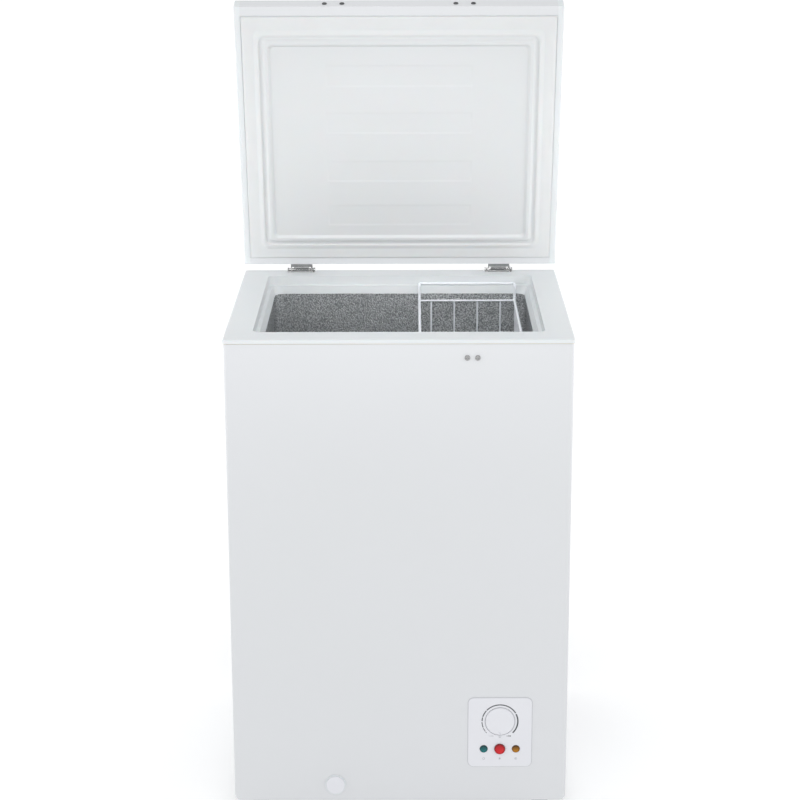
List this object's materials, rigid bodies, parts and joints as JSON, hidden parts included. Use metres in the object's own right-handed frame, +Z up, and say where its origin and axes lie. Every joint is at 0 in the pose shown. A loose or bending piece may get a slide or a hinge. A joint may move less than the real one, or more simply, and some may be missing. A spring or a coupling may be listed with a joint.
{
  "type": "chest freezer",
  "caption": "Small upright-proportioned chest freezer with a lifting lid on two rear hinges, embossed tub, hanging wire basket and a front control panel.",
  "frame": {"origin": "on the floor, midway along the whole object with its lid open, on its centre plane", "axes": "+Z up; -Y towards the user, out of the front; +X to the user's right"},
  "size_m": [0.548, 0.5254, 1.284],
  "materials": {
    "white_paint": "white powder-coated sheet steel, satin",
    "galvanised": "galvanised sheet steel, satin",
    "pu_foam": null,
    "embossed_aluminium": "stucco-embossed aluminium sheet, satin",
    "white_plastic": "white moulded polystyrene, satin",
    "white_abs": "white moulded ABS, satin",
    "gasket_pvc": "white flexible PVC, matte",
    "copper_pipe": "drawn copper tube, satin",
    "steel_pipe": "coated steel tube, satin",
    "black_paint": "black enamelled steel, satin",
    "black_rubber": "moulded black rubber, matte",
    "black_plastic": "moulded black plastic, matte",
    "grey_plastic": "moulded grey plastic, matte",
    "bright_steel": "nickel-plated steel, polished",
    "spring_steel": "drawn spring steel, satin",
    "green_lens": "translucent green plastic, gloss",
    "amber_lens": "translucent amber plastic, gloss",
    "red_button": "translucent red plastic, gloss",
    "coated_wire": "steel wire with a white plastic coating, gloss"
  },
  "bodies": {
    "cabinet": {"outer_shell": "white_paint", "back_panel": "galvanised", "base_pan": "galvanised", "foam_insulation": "pu_foam", "inner_liner": "embossed_aluminium", "top_frame": "white_plastic", "evaporator_coil": "copper_pipe", "condenser_coil": "steel_pipe", "compressor": "black_paint", "compressor_plate": "galvanised", "compressor_grommets": "black_rubber", "compressor_bolts": "spring_steel", "compressor_bay_panel": "galvanised", "start_relay_cover": "black_plastic", "filter_drier": "copper_pipe", "refrigerant_pipes": "copper_pipe", "side_grille": "white_abs", "grille_screws": "bright_steel", "cord_inlet_grommet": "black_rubber", "feet": "black_plastic", "drain_tube": "white_plastic", "control_bezel": "white_abs", "control_box": "grey_plastic", "power_lamp_lens": "green_lens", "run_lamp_lens": "amber_lens", "lamp_holders": "black_plastic", "fast_freeze_switch": "black_plastic", "thermostat_body": "galvanised", "catch_screws": "bright_steel", "hinge_bases": "bright_steel", "hinge_springs": "spring_steel", "hinge_base_screws": "bright_steel"},
    "lid": {"lid_skin": "white_paint", "lid_side_cap_left": "white_plastic", "lid_side_cap_right": "white_plastic", "lid_inner_panel": "white_plastic", "lid_foam": "pu_foam", "lid_gasket": "gasket_pvc", "lid_front_screws": "bright_steel", "hinge_leaves": "bright_steel", "hinge_pins": "bright_steel", "hinge_leaf_screws": "bright_steel"},
    "knob": {"thermostat_knob": "white_abs", "thermostat_spindle": "spring_steel"},
    "button": {"fast_freeze_button": "red_button"},
    "basket": {"basket_frame": "coated_wire", "basket_floor_ring": "coated_wire", "basket_wall_wires": "coated_wire", "basket_floor_wires": "coated_wire"},
    "cap": {"drain_cap": "white_abs"},
    "plug": {"drain_plug": "gasket_pvc"}
  },
  "joints": [
    {"name": "lid_hinge", "type": "hinge", "parent": "cabinet", "child": "lid", "pos_m": [0, 0.22577, 0.8065], "axis": [-1, 0, 0], "range_deg": [-75.9, 0]},
    {"name": "knob_turn", "type": "hinge", "parent": "cabinet", "child": "knob", "pos_m": [0.1633, -0.26108, 0.1599], "axis": [0, 1, 0], "range_deg": [0, 314]},
    {"name": "button_press", "type": "slide", "parent": "cabinet", "child": "button", "axis": [0, 1, 0], "range_m": [0, 0.0024], "stiffness_N_per_m": 900, "springref_m": -0.001},
    {"name": "basket_lift", "type": "slide", "parent": "cabinet", "child": "basket", "axis": [0, 0, 1], "range_m": [0, 0.09]},
    {"name": "drain_cap_pull", "type": "slide", "parent": "cabinet", "child": "cap", "axis": [0, -1, 0], "range_m": [0, 0.018]},
    {"name": "drain_plug_lift", "type": "slide", "parent": "cabinet", "child": "plug", "axis": [0, 0, 1], "range_m": [0, 0.03]}
  ]
}
